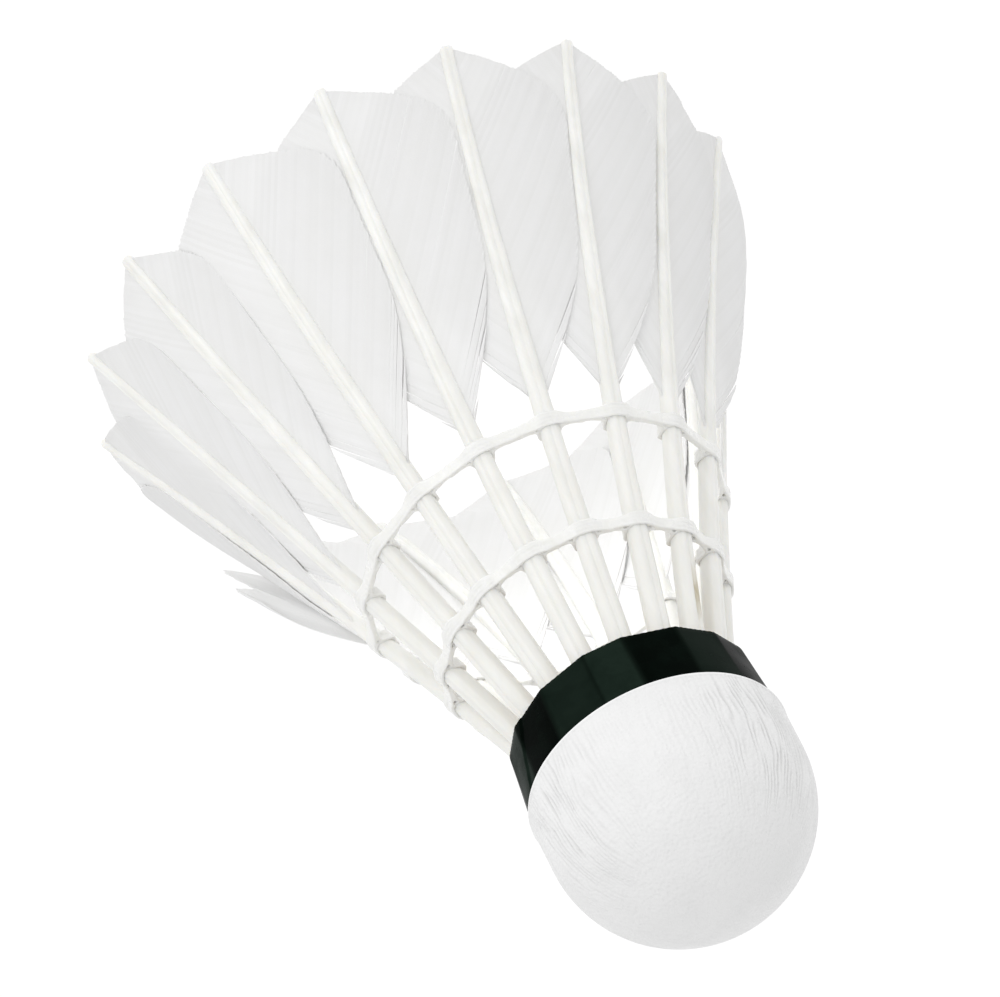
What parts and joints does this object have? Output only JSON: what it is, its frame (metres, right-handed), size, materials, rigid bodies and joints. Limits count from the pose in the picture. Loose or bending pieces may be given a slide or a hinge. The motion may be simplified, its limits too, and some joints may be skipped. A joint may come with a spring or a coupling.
{
  "type": "badminton shuttlecock",
  "caption": "Feather shuttlecock: a flared skirt of overlapping trimmed feathers, bound by two thread rings and set in a rounded leather-covered cork base with a tape band.",
  "frame": {"origin": "centre of the circle of feather tips, on the plane that the tips stand on", "axes": "+Z along the axis of the skirt, from the feather tips to the nose of the cork; +X through the tip of the first feather"},
  "size_m": [0.0672, 0.0672, 0.0838],
  "materials": {
    "shaft": "smooth ivory keratin, satin",
    "vane": "white feather barbs, soft sheen along the barbs",
    "thread": "white thread soaked in clear glue, glossy",
    "cork": "cut cork, dull",
    "leather": "thin white skived leather, fine wrinkles, satin",
    "tape": "very dark green film tape, satin gloss"
  },
  "bodies": {
    "root": {"cork_upper": "cork", "cork_nose": "cork", "leather_cover": "leather", "tape_band": "tape", "thread_upper": "thread", "thread_lower": "thread", "feather_01_shaft": "shaft", "feather_01_outer_vane": "vane", "feather_01_inner_vane": "vane", "feather_02_shaft": "shaft", "feather_02_outer_vane": "vane", "feather_02_inner_vane": "vane", "feather_03_shaft": "shaft", "feather_03_outer_vane": "vane", "feather_03_inner_vane": "vane", "feather_04_shaft": "shaft", "feather_04_outer_vane": "vane", "feather_04_inner_vane": "vane", "feather_05_shaft": "shaft", "feather_05_outer_vane": "vane", "feather_05_inner_vane": "vane", "feather_06_shaft": "shaft", "feather_06_outer_vane": "vane", "feather_06_inner_vane": "vane", "feather_07_shaft": "shaft", "feather_07_outer_vane": "vane", "feather_07_inner_vane": "vane", "feather_08_shaft": "shaft", "feather_08_outer_vane": "vane", "feather_08_inner_vane": "vane", "feather_09_shaft": "shaft", "feather_09_outer_vane": "vane", "feather_09_inner_vane": "vane", "feather_10_shaft": "shaft", "feather_10_outer_vane": "vane", "feather_10_inner_vane": "vane", "feather_11_shaft": "shaft", "feather_11_outer_vane": "vane", "feather_11_inner_vane": "vane", "feather_12_shaft": "shaft", "feather_12_outer_vane": "vane", "feather_12_inner_vane": "vane", "feather_13_shaft": "shaft", "feather_13_outer_vane": "vane", "feather_13_inner_vane": "vane", "feather_14_shaft": "shaft", "feather_14_outer_vane": "vane", "feather_14_inner_vane": "vane", "feather_15_shaft": "shaft", "feather_15_outer_vane": "vane", "feather_15_inner_vane": "vane", "feather_16_shaft": "shaft", "feather_16_outer_vane": "vane", "feather_16_inner_vane": "vane"}
  },
  "joints": []
}
